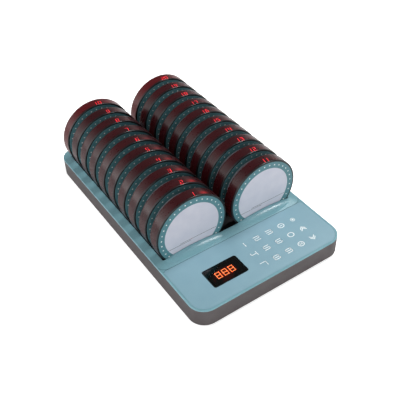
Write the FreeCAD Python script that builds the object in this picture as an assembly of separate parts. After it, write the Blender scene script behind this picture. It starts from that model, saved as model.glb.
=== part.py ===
import FreeCAD, Part
import math
import os

# Guest pager system: a charging base with a touch keypad and twenty round pagers
# standing on edge in two rows. Millimetres, +Z up, +Y away from the keypad.
# The origin is on the table, at the middle of the base.

V = FreeCAD.Vector

# Pagers and the rows they stand in
pager_diameter = 98.0
pager_thickness = 15.0
pagers_per_row = 10
pager_pitch = 25.7          # face to face along a row
row_gap = 8.4               # between the rims of the two rows
slot_clear = 0.35           # round the rim and on both faces

# Works of one pager, carried by a board behind the face
case_skin = 2.8             # plastic in front of and behind the works
works_clear = 0.2
room_clear = 0.8            # sides of the works board to the case
works_board_width = 31.0
works_board_thick = 1.2
works_board_top = 40.5      # above the pager's centre
battery_size = (26.0, 6.0, 38.0)
motor_size = (10.0, 4.0, 8.0)
number_size = (14.0, 8.0, 4.5)
number_offset = 7.2         # the number sits right of the centre
shoe_width = 32.0           # contact shoe in the bottom of the rim
shoe_height = 3.0
pad_size = (5.0, 5.0, 0.4)
pad_offset = 10.0

# Casing of the base
side_margin = 5.3           # rim of a pager to the side of the base
keypad_depth = 79.0         # front edge to the step in front of the rows
lip_depth = 13.7            # step to the face of the first pager
rear_margin = 18.0          # back of the last pager to the rear edge
base_corner = 21.0
foot_height = 1.5
tub_floor = 2.2
tub_wall = 2.5
tub_height = 25.0
tub_edge = 1.2              # bevel along the bottom
fit_clear = 0.2             # between mouldings
cut_past = 1.0              # how far a cut runs past a face

# Top cover
cover_band = 1.3            # teal band that shows above the seam
cover_plug = 1.0            # part of the cover that drops inside the walls
cover_edge = 0.6            # bevel that catches the light
tray_rise = 1.6             # edge of the tray opening above the keypad
tray_inset = 1.0            # foot of the slope in from the outer edge
tray_corner = 11.0
opening_clear = 2.2         # rim to the side of the opening
opening_gap = 0.45          # pager face to the front of the opening
opening_corner = 2.0
opening_land = 1.0
skirt_wall = 1.8
lip_rise = 5.7              # top of the lip above the keypad
lip_half = 42.0             # half the length of the lip
lip_fall = 4.3              # how far the lip drops towards its ends
lip_reach = 11.8            # lip in front of the opening

# Control panel
panel_margin = 3.0
panel_thick = 1.2
panel_corner = 18.0
panel_rear_corner = 3.0
panel_groove = 0.4          # dark line between the panel and the slope
window_width = 48.8
window_depth = 29.4
window_corner = 3.0
window_left = 38.0          # side of the base to the window
window_front = 23.1         # front edge of the base to the window
window_ledge = 2.0
window_clear = 0.1
touch_thick = 1.0
touch_size = (98.0, 52.0)
touch_left = -12.0
touch_front = 18.0

# Display
digit_count = 3
digit_pitch = 9.3
digit_size = (5.6, 9.4)
segment_width = 1.1
segment_thick = 0.2
display_size = (30.0, 14.0)
display_gap = 0.1           # segments to the window

# Boards and what they carry
board_thick = 1.6
main_board_size = (176.0, 48.0)
main_board_front = 21.0
main_board_z = 17.0
board_edge = 4.0            # bare edge round what the board carries
header_size = (20.0, 3.0)
chip_size = (14.0, 14.0, 1.6)
chip_left = 8.0
clip_width = 8.0
clip_hook = 1.0
charge_thick = 1.2
charge_gap = 0.8            # board above the floor
charge_strip = 54.0
charge_bar = 12.0
tray_gap = 0.4              # tray above the charging board
radio_size = (24.0, 18.0, 3.0)
radio_left = 46.0
buzzer_size = (12.0, 12.0, 5.0)
buzzer_right = 20.0         # right side of the base to the buzzer
antenna_size = (1.0, 150.0, 8.0)
ribbon_width = 13.0
ribbon_thick = 0.6
ribbon_land = 6.0           # soldered length at each end
ribbon_drop = 10.0          # main board to where the cable turns down
ribbon_inset = 1.0

# Charging tray and contacts
tray_wall = 1.45
slot_depth = 12.1
deck_thick = 1.5
deck_margin = 2.5
rib_wall = 1.6
window_in_slot = (26.0, 6.0)
blade_width = 3.0
blade_thick = 0.5
blade_foot = 4.0
blade_clear = 0.3

# Power inlet, feet and screws
inlet_size = (9.0, 14.0, 11.0)
inlet_bore = 3.2
inlet_depth = 9.0
inlet_pin = 1.0
inlet_axis = 6.5            # above the board
inlet_recess = 0.3
foot_radius = 6.5
foot_front = (84.0, 12.0)
foot_rear = (75.0, 8.5)
post_radius = 4.3
post_split = 15.0
screw_radius = 1.5
screw_length = 18.0
head_radius = 2.8
head_height = 2.0
screw_clear = 0.1

# Sizes that follow
pager_radius = pager_diameter / 2
row_x = pager_radius + row_gap / 2
base_width = 2 * (row_x + pager_radius + side_margin)
row_length = (pagers_per_row - 1) * pager_pitch + pager_thickness
base_length = keypad_depth + lip_depth + row_length + rear_margin
front = -base_length / 2
rear = base_length / 2
side = base_width / 2
first_face = front + keypad_depth + lip_depth
last_back = first_face + row_length

floor_z = foot_height + tub_floor
seam_z = foot_height + tub_height
keypad_z = seam_z + cover_band
plug_z = seam_z - cover_plug
tray_z = keypad_z + tray_rise
charge_z = floor_z + charge_gap
charge_top = charge_z + charge_thick
slot_radius = pager_radius + slot_clear
trough_radius = slot_radius + tray_wall
centre_z = charge_top + tray_gap + trough_radius
deck_z = centre_z - pager_radius + slot_depth
shoe_bottom = -math.sqrt(pager_radius ** 2 - (shoe_width / 2) ** 2)
main_top = main_board_z + board_thick
head_top = foot_height + head_height + screw_clear
screw_tip = head_top + screw_length

opening_half = row_x + math.sqrt(pager_radius ** 2 - (centre_z - tray_z) ** 2) + opening_clear
opening_front = first_face - opening_gap
opening_rear = last_back + opening_gap
window_x0 = -side + window_left
window_y0 = front + window_front
window_mid = V(window_x0 + window_width / 2, window_y0 + window_depth / 2, 0)


def box(x0, x1, y0, y1, z0, z1):
    return Part.makeBox(x1 - x0, y1 - y0, z1 - z0, V(x0, y0, z0))


def post(x, y, z0, z1, radius):
    return Part.makeCylinder(radius, z1 - z0, V(x, y, z0), V(0, 0, 1))


def disc(x, z, y0, y1, radius):
    return Part.makeCylinder(radius, y1 - y0, V(x, y0, z), V(0, 1, 0))


def rounded_wire(x0, x1, y0, y1, z, front_radius, rear_radius):
    """Rectangle with arcs at its corners, drawn from the front left corner."""
    corners = (
        (x0, y0, front_radius, 180),
        (x1, y0, front_radius, 270),
        (x1, y1, rear_radius, 0),
        (x0, y1, rear_radius, 90),
    )
    arcs = []
    for x, y, r, start in corners:
        cx = x + r if x == x0 else x - r
        cy = y + r if y == y0 else y - r
        points = []
        for turn in (0, 45, 90):
            a = math.radians(start + turn)
            points.append(V(cx + r * math.cos(a), cy + r * math.sin(a), z))
        arcs.append(points)
    edges = []
    for i, points in enumerate(arcs):
        edges.append(Part.Arc(*points).toShape())
        edges.append(Part.LineSegment(points[2], arcs[(i + 1) % 4][0]).toShape())
    return Part.Wire(edges)


def rounded_plate(x0, x1, y0, y1, z0, z1, front_radius, rear_radius=None):
    rear_radius = front_radius if rear_radius is None else rear_radius
    wire = rounded_wire(x0, x1, y0, y1, z0, front_radius, rear_radius)
    return Part.Face(wire).extrude(V(0, 0, z1 - z0))


def prism(points, direction):
    return Part.Face(Part.makePolygon(points + [points[0]])).extrude(direction)


def edges_at(shape, z, tolerance=1e-4):
    """Edges that lie wholly at one height."""
    found = []
    for edge in shape.Edges:
        b = edge.BoundBox
        if abs(b.ZMin - z) < tolerance and abs(b.ZMax - z) < tolerance:
            found.append(edge)
    return found


def foot_places():
    (fx, fy), (rx, ry) = foot_front, foot_rear
    return [(-fx, front + fy), (fx, front + fy), (-rx, rear - ry), (rx, rear - ry)]


def pager_places():
    """Number, row centre and face of every pager: left row first, front to back."""
    places = []
    for row, x in enumerate((-row_x, row_x)):
        for k in range(pagers_per_row):
            places.append((row * pagers_per_row + k + 1, x, first_face + k * pager_pitch))
    return places


def base_tub():
    outer = rounded_plate(-side, side, front, rear, foot_height, seam_z, base_corner)
    outer = outer.makeChamfer(tub_edge, edges_at(outer, foot_height))
    w = tub_wall
    inner = rounded_plate(
        -side + w, side - w, front + w, rear - w, floor_z, seam_z, base_corner - w
    )
    tub = outer.cut(inner)
    tub = tub.fuse(
        [post(x, y, floor_z, post_split, post_radius) for x, y in foot_places()]
        + deck_ribs()
        + board_clips()
        + charge_pads()
    )
    holes = [inlet_hole()]
    for x, y in foot_places():
        holes.append(post(x, y, foot_height, head_top, head_radius + screw_clear))
        holes.append(post(x, y, head_top, post_split, screw_radius + screw_clear))
    return tub.cut(holes).removeSplitter()


def deck_ribs():
    """Long walls under the middle and the sides of the tray's deck."""
    top = deck_z - deck_thick
    y0 = opening_front + deck_margin
    y1 = opening_rear - charge_bar
    x = opening_half
    ribs = []
    for x0 in (-x - rib_wall, -rib_wall / 2, x):
        ribs.append(box(x0, x0 + rib_wall, y0, y1, floor_z, top))
    return ribs


def board_clips():
    """Hooked posts that hold the main board at its front and rear edges."""
    clips = []
    width, depth = main_board_size
    for edge_y, out in ((front + main_board_front, -1), (front + main_board_front + depth, 1)):
        y = edge_y + out * fit_clear
        profile = (
            (y - out * 2 * clip_hook, floor_z),
            (y + out * rib_wall, floor_z),
            (y + out * rib_wall, main_top + 2 * clip_hook),
            (y, main_top + 2 * clip_hook),
            (y - out * clip_hook, main_top + fit_clear),
            (y, main_top + fit_clear),
            (y, main_board_z),
            (y - out * 2 * clip_hook, main_board_z),
        )
        for x in (-width / 3, width / 3):
            points = [V(x - clip_width / 2, py, pz) for py, pz in profile]
            clips.append(prism(points, V(clip_width, 0, 0)))
    return clips


def charge_pads():
    pads = []
    for x in (-row_x, row_x):
        for k in (1, pagers_per_row // 2, pagers_per_row - 2):
            y = first_face + k * pager_pitch - clip_width / 2
            pads.append(box(x - clip_width, x + clip_width, y, y + clip_width, floor_z, charge_z))
    return pads


def inlet_hole():
    width, depth, height = inlet_size
    c = 2 * fit_clear
    return box(
        -width / 2 - c, width / 2 + c, rear - tub_wall - cut_past, rear + cut_past,
        charge_top - c, charge_top + height + c,
    )


def top_cover():
    band = rounded_plate(-side, side, front, rear, seam_z, keypad_z, base_corner)
    band = band.makeChamfer(cover_edge, edges_at(band, keypad_z))
    w = tub_wall + fit_clear
    plug = rounded_plate(
        -side + w, side - w, front + w, rear - w, plug_z, seam_z, base_corner - w
    )
    cover = band.fuse([plug, tray_slope(), opening_skirt()] + [lip(-row_x), lip(row_x)])
    for x, y in foot_places():
        cover = cover.fuse(post(x, y, post_split, plug_z, post_radius))
    cuts = [
        tray_opening(0, deck_z - cut_past, tray_z + 2 * lip_rise),
        panel_recess(),
        display_opening(),
    ]
    for x, y in foot_places():
        cuts.append(post(x, y, post_split, screw_tip + screw_clear, screw_radius + screw_clear))
    return cover.cut(cuts).removeSplitter()


def tray_slope():
    """Low frame that rises from the outer edge to the tray opening."""
    i = tray_inset
    low = rounded_wire(
        -side + i, side - i, front + keypad_depth, rear - i, keypad_z,
        tray_corner, base_corner - i,
    )
    m = opening_land
    high = rounded_wire(
        -opening_half - m, opening_half + m, opening_front - m, opening_rear + m, tray_z,
        opening_corner + m, opening_corner + m,
    )
    return Part.makeLoft([low, high], True, True)


def tray_opening(grow, z0, z1):
    return rounded_plate(
        -opening_half - grow, opening_half + grow, opening_front - grow, opening_rear + grow,
        z0, z1, opening_corner + grow,
    )


def opening_skirt():
    return tray_opening(skirt_wall, deck_z, seam_z)


def lip(x):
    """Rounded lip in front of a row: a quarter-round section swung along a long arc."""
    bar = (lip_reach ** 2 + lip_rise ** 2) / (2 * lip_rise)
    arch = (lip_half ** 2 + lip_fall ** 2) / (2 * lip_fall)
    top = keypad_z + lip_rise
    back = V(x, opening_front, top)
    middle = V(x, opening_front, top - bar)
    half_way = middle + V(0, -bar, bar) * math.sqrt(0.5)
    toe = middle + V(0, -bar, 0)
    outline = Part.Wire([
        Part.Arc(back, half_way, toe).toShape(),
        Part.LineSegment(toe, middle).toShape(),
        Part.LineSegment(middle, back).toShape(),
    ])
    pivot = V(x, opening_front, top - arch)
    swing = math.degrees(math.asin(lip_half / arch))
    section = Part.Face(outline)
    section.rotate(pivot, V(0, 1, 0), -swing)
    swept = section.revolve(pivot, V(0, 1, 0), 2 * swing)
    above = box(x - side, x + side, front, opening_front, seam_z, top)
    return swept.common(above)


def panel_recess():
    m = panel_margin - fit_clear
    return rounded_plate(
        -side + m, side - m, front + m, front + keypad_depth, keypad_z - panel_thick,
        keypad_z, panel_corner, panel_rear_corner,
    )


def display_opening():
    m = window_ledge
    return rounded_plate(
        window_x0 + m, window_x0 + window_width - m, window_y0 + m,
        window_y0 + window_depth - m, plug_z, keypad_z, window_corner,
    )


def keypad_panel():
    m = panel_margin
    panel = rounded_plate(
        -side + m, side - m, front + m, front + keypad_depth - panel_groove,
        keypad_z - panel_thick, keypad_z, panel_corner, panel_rear_corner,
    )
    return panel.cut(window_plate(0))


def window_plate(gap):
    return rounded_plate(
        window_x0 + gap, window_x0 + window_width - gap, window_y0 + gap,
        window_y0 + window_depth - gap, keypad_z - panel_thick, keypad_z, window_corner,
    )


def display_window():
    return window_plate(window_clear)


def display_module():
    w, d = display_size
    top = keypad_z - panel_thick - display_gap - segment_thick
    x, y = window_mid.x, window_mid.y
    return box(x - w / 2, x + w / 2, y - d / 2, y + d / 2, main_top, top)


def display_segments():
    """Seven bars for each digit, on top of the module."""
    top = keypad_z - panel_thick - display_gap
    w, h = digit_size
    s = segment_width
    bars = []
    for k in range(digit_count):
        x = window_mid.x + (k - (digit_count - 1) / 2) * digit_pitch - w / 2
        y = window_mid.y - h / 2
        for level in range(3):
            y0 = y + level * (h - s) / 2
            bars.append((x + s, x + w - s, y0, y0 + s))
        for level in range(2):
            y0 = y + s + level * (h - s) / 2
            for x0 in (x, x + w - s):
                bars.append((x0, x0 + s, y0, y0 + (h - 3 * s) / 2))
    return Part.makeCompound([box(*bar, top - segment_thick, top) for bar in bars])


def touch_board():
    w, d = touch_size
    y = front + touch_front
    return box(touch_left, touch_left + w, y, y + d, plug_z - touch_thick, plug_z)


def main_board():
    w, d = main_board_size
    y = front + main_board_front
    board = box(-w / 2, w / 2, y, y + d, main_board_z, main_top)
    hw, hd = header_size
    x = touch_left + board_edge
    middle = y + d / 2
    header = box(x, x + hw, middle - hd, middle, main_top, plug_z - touch_thick)
    cw, cd, ch = chip_size
    chip = box(chip_left, chip_left + cw, middle + fit_clear, middle + fit_clear + cd,
               main_top, main_top + ch)
    return Part.makeCompound([board, header, chip])


def radio_module():
    w, d, h = radio_size
    y = front + main_board_front + main_board_size[1] - d - board_edge
    return box(radio_left, radio_left + w, y, y + d, main_top, main_top + h)


def antenna():
    """Thin strip board stuck to the inside of the right wall."""
    thick, length, height = antenna_size
    x = side - tub_wall
    y = front + main_board_front
    return box(x - thick, x, y, y + length, main_board_z - height, main_board_z)


def buzzer():
    w, d, h = buzzer_size
    x = side - buzzer_right
    y = front + main_board_front + main_board_size[1] / 3
    return box(x - w, x, y, y + d, main_top, main_top + h)


def ribbon_cable():
    """Flat cable from the main board down to the charging board, folded twice."""
    t = ribbon_thick
    y0 = front + main_board_front + main_board_size[1]
    y1 = y0 + ribbon_drop
    end = first_face + ribbon_land
    profile = (
        (y0 - ribbon_land, main_top), (y1 - t, main_top), (y1 - t, charge_top),
        (end, charge_top), (end, charge_top + t), (y1, charge_top + t),
        (y1, main_top + t), (y0 - ribbon_land, main_top + t),
    )
    x = row_x - charge_strip / 2 + ribbon_inset
    return prism([V(x, y, z) for y, z in profile], V(ribbon_width, 0, 0))


def charging_board():
    """Two strips under the rows and a bar behind them that carries the inlet."""
    x0 = row_x - charge_strip / 2
    x1 = row_x + charge_strip / 2
    y1 = opening_rear + deck_margin
    strips = [
        box(s, s + charge_strip, first_face, y1, charge_z, charge_top) for s in (-x1, x0)
    ]
    bar = box(-x1, x1, y1 - charge_bar, y1, charge_z, charge_top)
    tab = box(
        -inlet_size[0], inlet_size[0], y1 - charge_bar, rear - tub_wall - fit_clear,
        charge_z, charge_top,
    )
    return bar.fuse(strips + [tab]).removeSplitter()


def charging_contacts():
    """A pair of spring blades under every pager, each an L of thin strip."""
    t, f = blade_thick, blade_foot
    height = centre_z + shoe_bottom - pad_size[2] - blade_clear - charge_top
    shape = ((0, 0), (f, 0), (f, t), (t, t), (t, height), (0, height))
    blades = []
    for number, x, face in pager_places():
        y = face + pager_thickness / 2 - blade_width / 2
        for hand in (-1, 1):
            points = [
                V(x + hand * (pad_offset - px), y, charge_top + pz) for px, pz in shape
            ]
            blades.append(prism(points, V(0, blade_width, 0)))
    return Part.makeCompound(blades)


def charging_tray():
    """Deck with a round-bottomed slot for every pager."""
    x = opening_half + deck_margin
    y0, y1 = opening_front - deck_margin, opening_rear + deck_margin
    tray = box(-x, x, y0, y1, deck_z - deck_thick, deck_z)
    below = box(-x, x, y0, y1, charge_top + tray_gap, deck_z)
    start, end = first_face - slot_clear - tray_wall, last_back + slot_clear + tray_wall
    troughs = [
        disc(row, centre_z, start, end, trough_radius).common(below)
        for row in (-row_x, row_x)
    ]
    tray = tray.fuse(troughs)
    cuts = []
    wide, deep = window_in_slot
    for number, px, face in pager_places():
        cuts.append(
            disc(px, centre_z, face - slot_clear, face + pager_thickness + slot_clear, slot_radius)
        )
        mid = face + pager_thickness / 2
        cuts.append(
            box(px - wide / 2, px + wide / 2, mid - deep / 2, mid + deep / 2,
                charge_top, deck_z)
        )
    return tray.cut(cuts).removeSplitter()


def power_inlet():
    w, d, h = inlet_size
    y1 = rear - inlet_recess
    z = charge_top + inlet_axis
    body = box(-w / 2, w / 2, y1 - d, y1, charge_top, charge_top + h)
    body = body.cut(disc(0, z, y1 - inlet_depth, y1, inlet_bore))
    pin = disc(0, z, y1 - inlet_depth, y1 - inlet_recess, inlet_pin)
    return body.fuse(pin).removeSplitter()


def rubber_feet():
    return Part.makeCompound(
        [post(x, y, 0, foot_height, foot_radius) for x, y in foot_places()]
    )


def case_screws():
    """Pan-head screws up through the tub, hidden by the feet."""
    screws = []
    for x, y in foot_places():
        head = post(x, y, head_top - head_height, head_top, head_radius)
        shank = post(x, y, head_top, screw_tip, screw_radius)
        screws.append(head.fuse(shank))
    return Part.makeCompound(screws)


def pager_case(x, face):
    """Smoky round case with a slot for the works, open at the bottom of the rim."""
    case = disc(x, centre_z, face, face + pager_thickness, pager_radius)
    y0, y1 = face + case_skin, face + pager_thickness - case_skin
    c = works_clear
    half = works_board_width / 2 + room_clear
    top = centre_z + works_board_top
    foot = shoe_width / 2 + c
    number_w, number_d, number_h = number_size
    room = box(x - half, x + half, y0, y1, centre_z - works_board_top, top + c)
    mouth = box(
        x - foot, x + foot, y0, y1, centre_z - pager_radius, centre_z - works_board_top
    )
    number = box(
        x + number_offset - number_w / 2 - c, x + number_offset + number_w / 2 + c,
        y0, y1, top, top + number_h + c,
    )
    return case.cut(room.fuse([mouth, number]))


def pager_works(x, face):
    """Board with the battery, the motor, the lit number and the contact shoe."""
    c = works_clear
    y0, y1 = face + case_skin + c, face + pager_thickness - case_skin - c
    shoe_z = centre_z + shoe_bottom
    board_z = shoe_z + shoe_height
    top = centre_z + works_board_top
    half = works_board_width / 2
    parts = [
        box(x - shoe_width / 2, x + shoe_width / 2, y0, y1, shoe_z, board_z),
        box(x - half, x + half, y0, y0 + works_board_thick, board_z, top),
    ]
    back = y0 + works_board_thick
    w, d, h = battery_size
    parts.append(box(x - w / 2, x + w / 2, back, back + d, centre_z - h / 2, centre_z + h / 2))
    w, d, h = motor_size
    z = centre_z - works_board_top + h / 2
    parts.append(box(x - w / 2, x + w / 2, back, back + d, z, z + h))
    w, d, h = number_size
    left = x + number_offset - w / 2
    parts.append(box(left, left + w, y0, y0 + d, top, top + h))
    w, d, h = pad_size
    mid = face + pager_thickness / 2
    for hand in (-1, 1):
        px = x + hand * pad_offset
        parts.append(box(px - w / 2, px + w / 2, mid - d / 2, mid + d / 2, shoe_z - h, shoe_z))
    return Part.makeCompound(parts)


def export(name, shape):
    if not shape.isValid():
        raise ValueError(name + " is not a valid shape")
    shape.exportStep(os.path.join("parts", name + ".step"))


os.makedirs("parts", exist_ok=True)

base_parts = (
    base_tub, top_cover, keypad_panel, display_window, display_module, display_segments,
    touch_board, main_board, radio_module, antenna, buzzer, ribbon_cable, charging_board,
    charging_contacts, charging_tray, power_inlet, rubber_feet, case_screws,
)
for make in base_parts:
    export(make.__name__, make())

for number, x, face in pager_places():
    export("pager_%02d_case" % number, pager_case(x, face))
    export("pager_%02d_works" % number, pager_works(x, face))

print("base %.1f x %.1f, pager tops at %.1f" % (base_width, base_length, centre_z + pager_radius))
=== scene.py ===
import math
import bpy
import bmesh
from mathutils import Matrix, Vector


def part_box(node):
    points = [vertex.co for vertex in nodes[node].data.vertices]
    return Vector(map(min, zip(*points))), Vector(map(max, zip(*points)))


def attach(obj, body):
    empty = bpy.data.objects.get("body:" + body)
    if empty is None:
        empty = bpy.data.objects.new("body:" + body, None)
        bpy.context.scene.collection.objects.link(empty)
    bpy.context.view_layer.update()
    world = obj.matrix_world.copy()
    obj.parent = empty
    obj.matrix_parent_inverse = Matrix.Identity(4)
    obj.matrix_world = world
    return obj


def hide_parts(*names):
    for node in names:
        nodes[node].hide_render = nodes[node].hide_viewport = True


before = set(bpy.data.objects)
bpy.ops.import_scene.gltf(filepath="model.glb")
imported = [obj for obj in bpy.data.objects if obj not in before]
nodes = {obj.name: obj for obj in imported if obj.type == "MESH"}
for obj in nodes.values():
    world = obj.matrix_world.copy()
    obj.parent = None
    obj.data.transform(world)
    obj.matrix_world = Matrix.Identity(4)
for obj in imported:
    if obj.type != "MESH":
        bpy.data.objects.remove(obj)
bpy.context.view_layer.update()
mm = 0.001
print("frame loaded")

# Camera matched to the photo
cameraSettings = {
    "place": (-0.34494, -0.55673, 0.60197),
    "yaw": -32.85,
    "pitch": -42.02,
    "roll": -2.03,
    "lens": 59.25,
    "sensor": 36.0,
}


def makeCamera(s):
    yaw, pitch, roll = (math.radians(s[k]) for k in ("yaw", "pitch", "roll"))
    ahead = Vector((-math.sin(yaw) * math.cos(pitch), math.cos(yaw) * math.cos(pitch), math.sin(pitch)))
    right = Vector((math.cos(yaw), math.sin(yaw), 0))
    up = right.cross(ahead)
    rolledRight = right * math.cos(roll) + up * math.sin(roll)
    rolledUp = up * math.cos(roll) - right * math.sin(roll)
    data = bpy.data.cameras.new("camera")
    data.lens = s["lens"]
    data.sensor_width = s["sensor"]
    data.clip_start = 0.01
    data.clip_end = 20
    camera = bpy.data.objects.new("camera", data)
    turn = Matrix((rolledRight, rolledUp, -ahead)).transposed()
    camera.matrix_world = Matrix.Translation(s["place"]) @ turn.to_4x4()
    bpy.context.scene.collection.objects.link(camera)
    bpy.context.scene.camera = camera


makeCamera(cameraSettings)
bpy.context.scene.view_settings.view_transform = "Standard"


# Colours and nodes
def paint(hexColour):
    channels = [int(hexColour[i:i + 2], 16) / 255 for i in (1, 3, 5)]
    linear = [c / 12.92 if c <= 0.04045 else ((c + 0.055) / 1.055) ** 2.4 for c in channels]
    return (*linear, 1.0)


def addNode(tree, kind, settings=None, links=None):
    node = tree.nodes.new(kind)
    for key, value in (settings or {}).items():
        if isinstance(key, int) or key in node.inputs:
            node.inputs[key].default_value = value
        else:
            setattr(node, key, value)
    for key, source in (links or {}).items():
        tree.links.new(source, node.inputs[key])
    return node


def setStops(ramp, stops):
    elements = ramp.color_ramp.elements
    while len(elements) > len(stops):
        elements.remove(elements[-1])
    while len(elements) < len(stops):
        elements.new(1.0)
    for element, (place, colour) in zip(elements, stops):
        element.position = place
        element.color = paint(colour)


def startMaterial(name):
    material = bpy.data.materials.new(name)
    material.use_nodes = True
    tree = material.node_tree
    shader = tree.nodes["Principled BSDF"]
    place = addNode(tree, "ShaderNodeTexCoord").outputs["Object"]
    return material, tree, shader, place


def moulded(name, dark, light, roughness, grain=0.35, depth=0.006, cloud=18.0):
    material, tree, shader, place = startMaterial(name)
    clouds = addNode(tree, "ShaderNodeTexNoise", {"Scale": 1 / (cloud * mm), "Detail": 3.0},
                     {"Vector": place})
    tint = addNode(tree, "ShaderNodeValToRGB", {}, {"Fac": clouds.outputs["Fac"]})
    setStops(tint, [(0.3, dark), (0.7, light)])
    tree.links.new(tint.outputs["Color"], shader.inputs["Base Color"])
    grains = addNode(tree, "ShaderNodeTexNoise", {"Scale": 1 / (grain * mm), "Detail": 2.0},
                     {"Vector": place})
    rough = addNode(tree, "ShaderNodeMapRange", {"To Min": roughness - 0.05, "To Max": roughness + 0.05},
                    {"Value": grains.outputs["Fac"]})
    tree.links.new(rough.outputs["Result"], shader.inputs["Roughness"])
    bump = addNode(tree, "ShaderNodeBump", {"Strength": 0.35, "Distance": depth * mm},
                   {"Height": grains.outputs["Fac"]})
    tree.links.new(bump.outputs["Normal"], shader.inputs["Normal"])
    shader.inputs["IOR"].default_value = 1.53
    return material


# Injection moulded ABS, spark eroded satin: soft wide highlights, hardly any texture at arm's length
tealAbs = moulded("tealSatinAbs", "#79a6b1", "#7eabb5", 0.27)
# The same ABS in warm grey with a coarser grain: reads matt, with a faint sheen along the edges
greyAbs = moulded("greyGrainedAbs", "#4e4849", "#544e4f", 0.52, grain=0.6, depth=0.015)
# Printed polycarbonate overlay: flatter and bluer than the cover, very fine grain
tealOverlay = moulded("tealPolycarbonateOverlay", "#82a8b7", "#86acba", 0.36, grain=0.3, depth=0.004)
# Black ABS of the tray: swallows the light between the rows
blackAbs = moulded("blackAbs", "#141214", "#1b181a", 0.48, grain=0.6, depth=0.01)
# Rim band of a pager painted near black as painted shade of the case's front edge: hard satin plastic, thin
# bright line where it turns to the light
paintedShadeBand = moulded("paintedShadeBandSatin", "#0b0a0c", "#121013", 0.3, grain=0.5)
# Screen printed teal on a matt film: flat colour, slight mottling of the ink
tealFilm = moulded("tealPrintedFilm", "#52838c", "#578991", 0.46, grain=0.25, depth=0.003, cloud=9.0)
# Pale label print: cool grey white paper look under a matt film
paleLabel = moulded("paleLabelPrint", "#cfd0dd", "#d7d7e2", 0.45, grain=0.25, depth=0.003, cloud=14.0)
# White ink dots and key legends: opaque, slightly raised
whiteInk = moulded("whiteScreenInk", "#e6eff0", "#f4fafa", 0.5, grain=0.2)
# Dark ink of the label's thin rules
darkInk = moulded("darkScreenInk", "#26262e", "#32323b", 0.5, grain=0.2)
# Painted shade of the narrow groove behind the panel: a dark teal strip laid on the surface
seamShadow = moulded("paintedGrooveShadow", "#3c5a62", "#43626a", 0.7, grain=0.3)
# Moulded rubber: matt, almost black, a little dusty
rubber = moulded("mouldedRubber", "#1b1a1a", "#242222", 0.8, grain=0.8, depth=0.02)
# Solder mask on glass epoxy boards: deep green under a glossy lacquer
solderMask = moulded("solderMask", "#124d2e", "#176038", 0.35, grain=0.4)
# Vinyl flat cable: light grey satin, its grain as coarse as the 1.27 mm pitch of its wires
flatCable = moulded("greyFlatCable", "#8b8b8e", "#9b9b9e", 0.5, grain=1.27)

# Fine lines of drawn and rolled metal: width of a line, and how many times longer than wide it is
lineSettings = {
    "width": 0.4,
    "stretch": 12.0,
}


def metal(name, dark, light, roughness, s=lineSettings):
    material, tree, shader, place = startMaterial(name)
    stretch = addNode(tree, "ShaderNodeMapping", {"Scale": (1.0, s["stretch"], 1.0)}, {"Vector": place})
    lines = addNode(tree, "ShaderNodeTexNoise", {
        "Scale": 1 / (s["width"] * mm * s["stretch"]), "Detail": 3.0,
    }, {"Vector": stretch.outputs["Vector"]})
    tint = addNode(tree, "ShaderNodeValToRGB", {}, {"Fac": lines.outputs["Fac"]})
    setStops(tint, [(0.3, dark), (0.7, light)])
    tree.links.new(tint.outputs["Color"], shader.inputs["Base Color"])
    rough = addNode(tree, "ShaderNodeMapRange", {"To Min": roughness - 0.06, "To Max": roughness + 0.08},
                    {"Value": lines.outputs["Fac"]})
    tree.links.new(rough.outputs["Result"], shader.inputs["Roughness"])
    shader.inputs["Metallic"].default_value = 1.0
    return material


# Zinc plated steel of the screws and the shield can: cool grey with fine lines
screwSteel = metal("zincPlatedSteel", "#a5a7ab", "#c0c2c5", 0.35)
# Plated spring brass of blades and pads: warm yellow and a little smoother
springBrass = metal("platedSpringBrass", "#b8944f", "#cfae6a", 0.28)

# Smoked polycarbonate of the pager case: deep brown red satin, with a painted red glow: a spot by the lit
# number standing in for its light through the case, and a faint painted glow over the whole rim
smokedSettings = {
    "dark": "#2b0a0f",
    "light": "#371014",
    "cloud": 30.0,
    "haze": 6.0,
    "smoothest": 0.24,
    "roughest": 0.32,
    "shine": 0.3,
    "glowColour": "#ff1420",
    "glowStrength": 0.32,
}


def smokedCase(s):
    material, tree, shader, place = startMaterial("smokedPolycarbonatePaintedGlow")
    clouds = addNode(tree, "ShaderNodeTexNoise", {"Scale": 1 / (s["cloud"] * mm), "Detail": 3.0},
                     {"Vector": place})
    tint = addNode(tree, "ShaderNodeValToRGB", {}, {"Fac": clouds.outputs["Fac"]})
    setStops(tint, [(0.3, s["dark"]), (0.7, s["light"])])
    tree.links.new(tint.outputs["Color"], shader.inputs["Base Color"])
    haze = addNode(tree, "ShaderNodeTexNoise", {"Scale": 1 / (s["haze"] * mm), "Detail": 2.0},
                   {"Vector": place})
    rough = addNode(tree, "ShaderNodeMapRange", {"To Min": s["smoothest"], "To Max": s["roughest"]},
                    {"Value": haze.outputs["Fac"]})
    tree.links.new(rough.outputs["Result"], shader.inputs["Roughness"])
    # Painted glow: emission read from the rim's painted glow attribute
    glow = addNode(tree, "ShaderNodeAttribute", {"attribute_name": "glow"})
    strength = addNode(tree, "ShaderNodeMath", {"operation": "MULTIPLY", 1: s["glowStrength"]},
                       {0: glow.outputs["Fac"]})
    tree.links.new(strength.outputs["Value"], shader.inputs["Emission Strength"])
    shader.inputs["Emission Color"].default_value = paint(s["glowColour"])
    shader.inputs["IOR"].default_value = 1.58
    shader.inputs["Specular IOR Level"].default_value = s["shine"]
    return material


smoked = smokedCase(smokedSettings)


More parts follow.
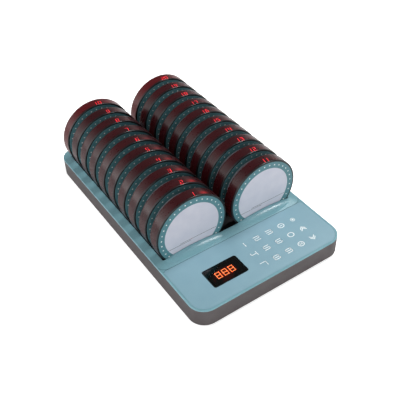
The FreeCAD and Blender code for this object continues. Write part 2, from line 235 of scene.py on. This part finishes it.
# Lit bars, red on the rims and orange in the display: they glow evenly, a touch hotter in places
def lit(name, colour, hot, strength):
    material, tree, shader, place = startMaterial(name)
    flicker = addNode(tree, "ShaderNodeTexNoise", {"Scale": 1 / (1.5 * mm)}, {"Vector": place})
    tint = addNode(tree, "ShaderNodeValToRGB", {}, {"Fac": flicker.outputs["Fac"]})
    setStops(tint, [(0.35, colour), (0.7, hot)])
    tree.links.new(tint.outputs["Color"], shader.inputs["Emission Color"])
    shader.inputs["Base Color"].default_value = paint(colour)
    shader.inputs["Emission Strength"].default_value = strength
    shader.inputs["Roughness"].default_value = 0.4
    return material


redNumber = lit("redLitNumber", "#ff2030", "#ff3c46", 0.95)
orangeDigits = lit("orangeLitDigits", "#ff8344", "#ff9c60", 6.0)


# Smoked acrylic of the display window: mirror smooth and nearly black, digits show through
def smokedWindow():
    material, tree, shader, place = startMaterial("smokedAcrylic")
    waves = addNode(tree, "ShaderNodeTexNoise", {"Scale": 1 / (12 * mm), "Detail": 1.0}, {"Vector": place})
    rough = addNode(tree, "ShaderNodeMapRange", {"To Min": 0.0, "To Max": 0.004},
                    {"Value": waves.outputs["Fac"]})
    tree.links.new(rough.outputs["Result"], shader.inputs["Roughness"])
    shader.inputs["Base Color"].default_value = paint("#8d8684")
    shader.inputs["IOR"].default_value = 1.49
    shader.inputs["Transmission Weight"].default_value = 1.0
    return material


windowAcrylic = smokedWindow()


# Display body: black epoxy, with a painted orange glow round the lit bars standing in for their spill
spillSettings = {
    "colour": "#ff4a14",
    "strength": 0.4,
    "reach": 3.0,
    "fadeFrom": 0.2,
    "fadeTo": 1.1,
}


def displayFace(s):
    material, tree, shader, place = startMaterial("blackEpoxyPaintedSpill")
    low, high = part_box("display_segments")
    middle = (low + high) / 2
    half = (high - low) / 2
    across = half.x + s["reach"] * mm
    along = half.y + s["reach"] * mm
    centred = addNode(tree, "ShaderNodeMapping", {
        "vector_type": "POINT",
        "Location": (-middle.x / across, -middle.y / along, 0),
        "Scale": (1 / across, 1 / along, 0),
    }, {"Vector": place})
    # Painted glow: emission fading out round the lit bars
    ball = addNode(tree, "ShaderNodeVectorMath", {"operation": "LENGTH"}, {0: centred.outputs["Vector"]})
    spill = addNode(tree, "ShaderNodeMapRange", {
        "From Min": s["fadeTo"], "From Max": s["fadeFrom"], "To Min": 0.0, "To Max": s["strength"],
    }, {"Value": ball.outputs["Value"]})
    tree.links.new(spill.outputs["Result"], shader.inputs["Emission Strength"])
    shader.inputs["Emission Color"].default_value = paint(s["colour"])
    shader.inputs["Base Color"].default_value = paint("#0d0b0b")
    shader.inputs["Roughness"].default_value = 0.35
    return material


displayPaintedSpill = displayFace(spillSettings)
print("materials ready")

nodeFinishes = {
    "base_tub": greyAbs,
    "top_cover": tealAbs,
    "keypad_panel": tealOverlay,
    "display_window": windowAcrylic,
    "display_module": displayPaintedSpill,
    "display_segments": orangeDigits,
    "touch_board": solderMask,
    "main_board": solderMask,
    "radio_module": screwSteel,
    "antenna": solderMask,
    "buzzer": blackAbs,
    "ribbon_cable": flatCable,
    "charging_board": solderMask,
    "charging_contacts": springBrass,
    "charging_tray": blackAbs,
    "power_inlet": blackAbs,
    "rubber_feet": rubber,
    "case_screws": screwSteel,
}


def finishNode(name, material):
    data = nodes[name].data
    data.materials.clear()
    data.materials.append(material)


for name, material in nodeFinishes.items():
    finishNode(name, material)
for number in range(1, 21):
    finishNode("pager_%02d_works" % number, solderMask)


# Pieces in bmesh; edges that turn more than this stay sharp
sharpFrom = math.radians(35)


def finishPiece(name, bm, body, materials, replaced=()):
    bmesh.ops.recalc_face_normals(bm, faces=bm.faces[:])
    for face in bm.faces:
        face.smooth = True
    for edge in bm.edges:
        edge.smooth = len(edge.link_faces) == 2 and edge.calc_face_angle(0) < sharpFrom
    mesh = bpy.data.meshes.new(name)
    bm.to_mesh(mesh)
    bm.free()
    for material in materials:
        mesh.materials.append(material)
    piece = bpy.data.objects.new(name, mesh)
    bpy.context.scene.collection.objects.link(piece)
    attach(piece, body)
    if replaced:
        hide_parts(*replaced)


def addBar(bm, middle, size, index=0, turn=0.0, slant=0.0):
    shear = Matrix(((1, slant, 0, 0), (0, 1, 0, 0), (0, 0, 1, 0), (0, 0, 0, 1)))
    place = Matrix.Translation(middle) @ shear @ Matrix.Rotation(turn, 4, "Z") @ Matrix.Diagonal((*size, 1))
    made = bmesh.ops.create_cube(bm, size=1.0, matrix=place)
    for face in {f for v in made["verts"] for f in v.link_faces}:
        face.material_index = index
    return made["verts"]


def addDisc(bm, middle, radius, thick, segments, index=0):
    made = bmesh.ops.create_cone(bm, cap_ends=True, segments=segments, radius1=radius, radius2=radius,
                                 depth=thick, matrix=Matrix.Translation(middle))
    for face in {f for v in made["verts"] for f in v.link_faces}:
        face.material_index = index
    return made["verts"]


def addHoop(bm, middle, radius, stroke, thick, segments):
    corners = [(radius - stroke / 2, -thick / 2), (radius + stroke / 2, -thick / 2),
               (radius + stroke / 2, thick / 2), (radius - stroke / 2, thick / 2)]
    start = [bm.verts.new((x, 0, z)) for x, z in corners]
    edges = [bm.edges.new((start[i], start[(i + 1) % 4])) for i in range(4)]
    before = set(bm.verts) - set(start)
    bmesh.ops.spin(bm, geom=start + edges, cent=(0, 0, 0), axis=(0, 0, 1), angle=2 * math.pi,
                   steps=segments, use_merge=True)
    fresh = [v for v in bm.verts if v not in before]
    bmesh.ops.translate(bm, verts=fresh, vec=middle)
    return fresh


# Which of the seven bars each digit lights, from the top down and from left to right
litBars = {
    "0": "1110111", "1": "0010010", "2": "1011101", "3": "1011011", "4": "0111010",
    "5": "1101011", "6": "1101111", "7": "1010010", "8": "1111111", "9": "1111011",
}


def addDigit(bm, digit, middle, width, height, stroke, thick, gap=0.0, slant=0.0):
    w, h = (width - stroke) / 2, (height - stroke) / 2
    across = (width - 2 * gap, stroke)
    upright = (stroke, h + stroke - 2 * gap)
    spots = [(0, h, across), (-w, h / 2, upright), (w, h / 2, upright), (0, 0, across),
             (-w, -h / 2, upright), (w, -h / 2, upright), (0, -h, across)]
    for on, (x, y, (sx, sy)) in zip(litBars[digit], spots):
        if on == "1":
            side = 0 if digit == "1" else x
            at = Vector(middle) + Vector((side + slant * y, y, 0))
            addBar(bm, at, (sx, sy, thick), slant=slant if sx < sy else 0.0)


# Pagers: a shell, a printed face, a lit number and two charging pads each
pagerSettings = {
    "faceSteps": 128,
    "rimRows": 9,
    "edgeRound": 0.8,
    "roundSteps": 3,
    "recessInset": 2.8,
    "recessStep": 0.05,
    "padSize": (5.0, 5.0, 0.4),
    "padOffset": 10.0,
    "padCover": 0.02,
    "bandWidth": 1.7,
    "faceSink": 0.25,
    "filmRadius": 46.9,
    "filmGap": 0.1,
    "filmThick": 0.2,
    "labelRadius": 38.1,
    "dotCount": 34,
    "dotSides": 8,
    "dotRadius": 0.95,
    "dotCircle": 42.6,
    "inkThick": 0.05,
    "ruleWidth": 0.5,
    "numberBack": 4.7,
    "numberRight": 7.2,
    "numberRightPair": 5.3,
    "numberHeight": 6.8,
    "numberWidth": 4.1,
    "numberPitch": 5.3,
    "numberStroke": 0.55,
    "numberGap": 0.04,
    "numberThick": 0.06,
    "numberSlant": 0.18,
    # Painted red glow on the rims: a spot by the number, its strength for each pager, and a faint glow over
    # every rim
    "glowRight": 21.0,
    "glowBack": 3.5,
    "glowSize": (5.0, 3.5),
    "glowLevels": (1.0, 0.9, 0.7, 0.5, 0.4, 0.3),
    "glowElsewhere": 0.12,
    "glowRow": 0.015,
    "glowLast": 0.16,
}
# Thin rules across the label: start, end and height from its middle
labelRules = [(-18.0, 33.8, -14.6), (-34.3, -2.0, -16.6)]


# Middle across, middle height, front, back and radius of a pager
def pagerFrame(number):
    low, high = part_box("pager_%02d_case" % number)
    return (low.x + high.x) / 2, (low.z + high.z) / 2, low.y, high.y, (high.x - low.x) / 2


# Height of the flat of the contact recess in the bottom of the rim
def contactLevel(number):
    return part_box("pager_%02d_works" % number)[0].z + pagerSettings["padSize"][2] * mm


# Stands flat ink up against the front of a face
def ontoFace(verts, x, z, y):
    for v in verts:
        u, w, t = v.co
        v.co = (x + u, y - t, z + w)


def pagerCase(number):
    s = pagerSettings
    x, z, face, back, radius = pagerFrame(number)
    r = s["edgeRound"] * mm
    sink = s["faceSink"] * mm
    film = s["filmRadius"] * mm
    bm = bmesh.new()
    profile = [(0, face + sink), (film, face + sink), (film, face)]
    turns = [90 * i / s["roundSteps"] for i in range(s["roundSteps"] + 1)]
    for turn in turns:
        a = math.radians(turn)
        profile.append((radius - r + r * math.sin(a), face + r - r * math.cos(a)))
    rows = s["rimRows"]
    band = face + s["bandWidth"] * mm
    step = s["recessStep"] * mm
    front = face + s["recessInset"] * mm
    rear = back - s["recessInset"] * mm
    profile += [(radius, band), (radius, front)]
    for i in range(rows):
        profile.append((radius, front + step + (rear - front - 2 * step) * i / (rows - 1)))
    profile.append((radius, rear))
    for turn in reversed(turns):
        a = math.radians(turn)
        profile.append((radius - r + r * math.sin(a), back - r + r * math.cos(a)))
    profile += [(film, back), (film, back - sink), (0, back - sink)]
    line = [bm.verts.new((x + pr, py, z)) for pr, py in profile]
    edges = [bm.edges.new(pair) for pair in zip(line, line[1:])]
    bmesh.ops.spin(bm, geom=line + edges, cent=(x, 0, z), axis=(0, 1, 0), angle=2 * math.pi,
                   steps=s["faceSteps"], use_merge=True)
    bmesh.ops.remove_doubles(bm, verts=bm.verts[:], dist=1e-6)
    # Band round the face, painted near black as painted shade of the front edge
    inner = film * math.cos(math.pi / s["faceSteps"]) - s["filmGap"] * mm
    for f in bm.faces:
        middle = f.calc_center_median()
        reach = math.hypot(middle.x - x, middle.z - z)
        f.material_index = 1 if middle.y < band and reach > inner else 0
    # Flat of the contact recess, between the first and the last row of the rim
    floor = contactLevel(number) - step
    for v in bm.verts:
        if front + step / 2 < v.co.y < rear - step / 2 and v.co.z < floor:
            v.co.z = floor
    # Painted glow round the number, brightest on the first pagers, and a painted glow over the whole rim,
    # stronger on a row's last one
    glow = bm.verts.layers.float.new("glow")
    spotAngle = s["glowRight"] * mm / radius
    spotBack = face + s["glowBack"] * mm
    wide, deep = (v * mm for v in s["glowSize"])
    levels = s["glowLevels"]
    level = levels[number - 1] if number <= len(levels) else s["glowElsewhere"]
    whole = s["glowLast"] if number % 10 == 0 else s["glowRow"]
    for v in bm.verts:
        around = (math.atan2(v.co.x - x, v.co.z - z) - spotAngle) * radius
        reach = (around / wide) ** 2 + ((v.co.y - spotBack) / deep) ** 2
        if math.hypot(v.co.x - x, v.co.z - z) > (film + radius) / 2:
            v[glow] = whole + level * math.exp(-reach)
    name = "pager_%02d" % number
    finishPiece(name + "_shell", bm, name, [smoked, paintedShadeBand], [name + "_case"])


def pagerFace(number):
    s = pagerSettings
    x, z, face, back, radius = pagerFrame(number)
    thick = s["filmThick"] * mm
    ink = s["inkThick"] * mm
    top = face + s["faceSink"] * mm - thick
    bm = bmesh.new()
    outer = (s["filmRadius"] - s["filmGap"]) * mm
    label = s["labelRadius"] * mm
    profile = [(0, top), (label, top), (outer, top), (outer, top + thick), (0, top + thick)]
    line = [bm.verts.new((x + pr, py, z)) for pr, py in profile]
    edges = [bm.edges.new(pair) for pair in zip(line, line[1:])]
    bmesh.ops.spin(bm, geom=line + edges, cent=(x, 0, z), axis=(0, 1, 0), angle=2 * math.pi,
                   steps=s["faceSteps"] // 2, use_merge=True)
    bmesh.ops.remove_doubles(bm, verts=bm.verts[:], dist=1e-6)
    for f in bm.faces:
        middle = f.calc_center_median()
        f.material_index = 1 if math.hypot(middle.x - x, middle.z - z) < label else 0
    for i in range(s["dotCount"]):
        a = 2 * math.pi * i / s["dotCount"]
        spot = (s["dotCircle"] * mm * math.sin(a), s["dotCircle"] * mm * math.cos(a), 0)
        ontoFace(addDisc(bm, spot, s["dotRadius"] * mm, ink, s["dotSides"], 2), x, z, top)
    for x0, x1, level in labelRules:
        middle = ((x0 + x1) / 2 * mm, level * mm, 0)
        bar = addBar(bm, middle, ((x1 - x0) * mm, s["ruleWidth"] * mm, ink), 3)
        ontoFace(bar, x, z, top)
    name = "pager_%02d" % number
    finishPiece(name + "_face", bm, name, [tealFilm, paleLabel, whiteInk, darkInk])


def pagerNumber(number):
    s = pagerSettings
    x, z, face, back, radius = pagerFrame(number)
    text = str(number)
    right = s["numberRight"] if len(text) == 1 else s["numberRightPair"]
    bm = bmesh.new()
    for k, digit in enumerate(text):
        across = right + (k - (len(text) - 1) / 2) * s["numberPitch"]
        addDigit(bm, digit, (across * mm, 0, 0), s["numberWidth"] * mm, s["numberHeight"] * mm,
                 s["numberStroke"] * mm, s["numberThick"] * mm, s["numberGap"] * mm, s["numberSlant"])
    # Flat number bent round the rim
    middle = face + s["numberBack"] * mm
    for v in bm.verts:
        u, w, t = v.co
        a = u / radius
        v.co = (x + (radius + t) * math.sin(a), middle + w, z + (radius + t) * math.cos(a))
    name = "pager_%02d" % number
    finishPiece(name + "_number", bm, name, [redNumber])


def pagerPads(number):
    s = pagerSettings
    x, z, face, back, radius = pagerFrame(number)
    wide, deep, high = (v * mm for v in s["padSize"])
    over = s["padCover"] * mm
    level = contactLevel(number) - high / 2
    bm = bmesh.new()
    for hand in (-1, 1):
        middle = (x + hand * s["padOffset"] * mm, (face + back) / 2, level)
        addBar(bm, middle, (wide + over, deep + over, high + over))
    name = "pager_%02d" % number
    finishPiece(name + "_pads", bm, name, [springBrass])


for number in range(1, 21):
    pagerCase(number)
    pagerFace(number)
    pagerNumber(number)
    pagerPads(number)
print("pagers ready")

# Key legends on the panel
legendSettings = {
    "first": (-1.08, -119.9),
    "pitch": (18.81, -19.18),
    "width": 8.4,
    "height": 6.8,
    "stroke": 0.95,
    "thick": 0.05,
    "lift": 0.3,
    "ringRadius": 0.5,
    "ringStretch": 1.2,
    "barLength": 0.5,
    "postSpread": 0.2,
    "postHeight": 0.45,
    "dotRadius": 0.2,
    "dotRing": 0.4,
    "dotStroke": 0.7,
    "dotSides": 24,
    "ringSides": 28,
}
legendRows = (
    ("1", "2", "3", "bar ring", "dot"),
    ("4", "5", "6", "ring", "up"),
    ("7", "8", "9", "call", "down"),
)
# Outline of one chevron of a double arrow, as shares of a legend's width and height
chevron = ((0.0, 0.56), (0.46, 0.02), (0.46, -0.2), (0.0, 0.32), (-0.46, -0.2), (-0.46, 0.02))
chevronStep = 0.38


def addPlate(bm, outline, z, thick):
    under = bm.faces.new([bm.verts.new((px, py, z - thick / 2)) for px, py in outline])
    made = bmesh.ops.extrude_face_region(bm, geom=[under])
    over = [v for v in made["geom"] if isinstance(v, bmesh.types.BMVert)]
    bmesh.ops.translate(bm, verts=over, vec=(0, 0, thick))


def addIcon(bm, kind, at, s):
    w, h, stroke, thick = (s[k] * mm for k in ("width", "height", "stroke", "thick"))
    x, y, z = at
    if kind in ("ring", "bar ring", "call"):
        hoop = addHoop(bm, (0, 0, 0), h * s["ringRadius"], stroke, thick, s["ringSides"])
        bmesh.ops.scale(bm, verts=hoop, vec=(s["ringStretch"], 1.0, 1.0))
        bmesh.ops.translate(bm, verts=hoop, vec=at)
        if kind != "ring":
            addBar(bm, at, (w * s["barLength"], stroke, thick))
        if kind == "call":
            for hand in (-1, 1):
                post = (x + hand * w * s["postSpread"], y, z)
                addBar(bm, post, (stroke, h * s["postHeight"], thick))
    elif kind == "dot":
        addDisc(bm, at, h * s["dotRadius"], thick, s["dotSides"])
        addHoop(bm, at, h * s["dotRing"], stroke * s["dotStroke"], thick, s["ringSides"])
    else:
        way = 1 if kind == "up" else -1
        for step in (0, chevronStep):
            addPlate(bm, [(x + u * w, y + way * (v - step) * h) for u, v in chevron], z, thick)


def keyLegends(s):
    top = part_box("keypad_panel")[1].z
    bm = bmesh.new()
    for j, row in enumerate(legendRows):
        for i, kind in enumerate(row):
            x = (s["first"][0] + i * s["pitch"][0]) * mm
            y = (s["first"][1] + j * s["pitch"][1]) * mm
            at = (x, y, top + s["thick"] * mm * s["lift"])
            if kind in litBars:
                addDigit(bm, kind, at, s["width"] * mm, s["height"] * mm, s["stroke"] * mm, s["thick"] * mm)
            else:
                addIcon(bm, kind, at, s)
    finishPiece("key_legends", bm, "base", [whiteInk])


keyLegends(legendSettings)

# Lit digits under the window, every bar on
digitSettings = {
    "count": 3,
    "pitch": 9.3,
    "width": 6.3,
    "height": 9.5,
    "stroke": 0.72,
    "gap": 0.2,
}


def litDigits(s):
    low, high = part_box("display_segments")
    middle = (low + high) / 2
    bm = bmesh.new()
    for k in range(s["count"]):
        at = middle + Vector(((k - (s["count"] - 1) / 2) * s["pitch"] * mm, 0, 0))
        addDigit(bm, "8", at, s["width"] * mm, s["height"] * mm, s["stroke"] * mm,
                 high.z - low.z, gap=s["gap"] * mm)
    finishPiece("lit_digits", bm, "base", [orangeDigits], ["display_segments"])


litDigits(digitSettings)

# Painted shadow line where the raised tray frame meets the panel, a dark strip on the surface in place of
# the groove's shade; its ends turn back along the frame's corners
seamSettings = {
    "inset": 1.0,
    "front": 79.0,
    "corner": 11.0,
    "wide": 0.55,
    "thick": 0.06,
    "turn": 70,
    "steps": 9,
    "overlap": 1.1,
}


def seamLine(s):
    low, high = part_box("base_tub")
    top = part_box("keypad_panel")[1].z
    r = s["corner"] * mm
    y = low.y + s["front"] * mm
    bm = bmesh.new()
    addBar(bm, (0, y, top), (high.x - low.x - 2 * (s["inset"] * mm + r), s["wide"] * mm, s["thick"] * mm))
    step = math.radians(s["turn"] / s["steps"])
    for hand in (-1, 1):
        cx = hand * (high.x - s["inset"] * mm - r)
        for k in range(s["steps"]):
            a = (k + 0.5) * step
            at = (cx + hand * r * math.sin(a), y + r - r * math.cos(a), top)
            length = r * step * s["overlap"]
            addBar(bm, at, (length, s["wide"] * mm, s["thick"] * mm), turn=hand * a)
    finishPiece("painted_seam_shadow", bm, "base", [seamShadow])


seamLine(seamSettings)
print("legends ready")

# Floor and light
stageSettings = {
    "floorSize": 8.0,
    "lowSky": 0.5,
    "highSky": 0.12,
    "leftSky": 1.5,
    "floorLift": 0.7,
    "aim": (0, 0, 0.05),
    "lamps": {
        "keySoftbox": {"place": (0.8, 0.05, 1.2), "size": 0.45, "power": 13.8},
        "frontFill": {"place": (-0.3, -1.8, 0.3), "size": 0.8, "power": 8.5},
        "leftStrip": {"place": (-1.35, 1.05, 0.3), "size": 0.5, "power": 1.2},
    },
}


def makeFloor(s):
    bm = bmesh.new()
    bmesh.ops.create_grid(bm, x_segments=1, y_segments=1, size=s["floorSize"] / 2)
    mesh = bpy.data.meshes.new("floor")
    bm.to_mesh(mesh)
    bm.free()
    floor = bpy.data.objects.new("floor", mesh)
    bpy.context.scene.collection.objects.link(floor)
    material, tree, shader, place = startMaterial("palePaper")
    shader.inputs["Base Color"].default_value = paint("#fbfbfb")
    shader.inputs["Roughness"].default_value = 0.9
    shader.inputs["Specular IOR Level"].default_value = 0.1
    path = addNode(tree, "ShaderNodeLightPath")
    lift = addNode(tree, "ShaderNodeMath", {"operation": "MULTIPLY", 1: s["floorLift"]},
                   {0: path.outputs["Is Camera Ray"]})
    tree.links.new(lift.outputs["Value"], shader.inputs["Emission Strength"])
    shader.inputs["Emission Color"].default_value = (1, 1, 1, 1)
    mesh.materials.append(material)


def makeWorld(s):
    world = bpy.data.worlds.new("studio")
    bpy.context.scene.world = world
    world.use_nodes = True
    tree = world.node_tree
    back = tree.nodes["Background"]
    path = addNode(tree, "ShaderNodeLightPath")
    way = addNode(tree, "ShaderNodeSeparateXYZ", {},
                  {"Vector": addNode(tree, "ShaderNodeTexCoord").outputs["Generated"]})
    sky = addNode(tree, "ShaderNodeMapRange", {
        "interpolation_type": "SMOOTHSTEP", "From Min": 0.0, "From Max": 0.5,
        "To Min": s["lowSky"], "To Max": s["highSky"],
    }, {"Value": way.outputs["Z"]})
    side = addNode(tree, "ShaderNodeMapRange", {
        "interpolation_type": "SMOOTHSTEP", "From Min": -0.2, "From Max": -0.9,
        "To Min": 0.0, "To Max": s["leftSky"],
    }, {"Value": way.outputs["X"]})
    both = addNode(tree, "ShaderNodeMath", {"operation": "ADD"},
                   {0: sky.outputs["Result"], 1: side.outputs["Result"]})
    seen = addNode(tree, "ShaderNodeMix", {"B": 1.0},
                   {"Factor": path.outputs["Is Camera Ray"], "A": both.outputs["Value"]})
    tree.links.new(seen.outputs["Result"], back.inputs["Strength"])
    back.inputs["Color"].default_value = (1, 1, 1, 1)


def makeLamp(name, s, aim):
    data = bpy.data.lights.new(name, "AREA")
    data.size = s["size"]
    data.energy = s["power"]
    lamp = bpy.data.objects.new(name, data)
    lamp.location = s["place"]
    away = Vector(aim) - Vector(s["place"])
    lamp.rotation_euler = away.to_track_quat("-Z", "Y").to_euler()
    bpy.context.scene.collection.objects.link(lamp)


makeFloor(stageSettings)
makeWorld(stageSettings)
for name, lamp in stageSettings["lamps"].items():
    makeLamp(name, lamp, stageSettings["aim"])
print("stage ready")

bpy.context.view_layer.update()
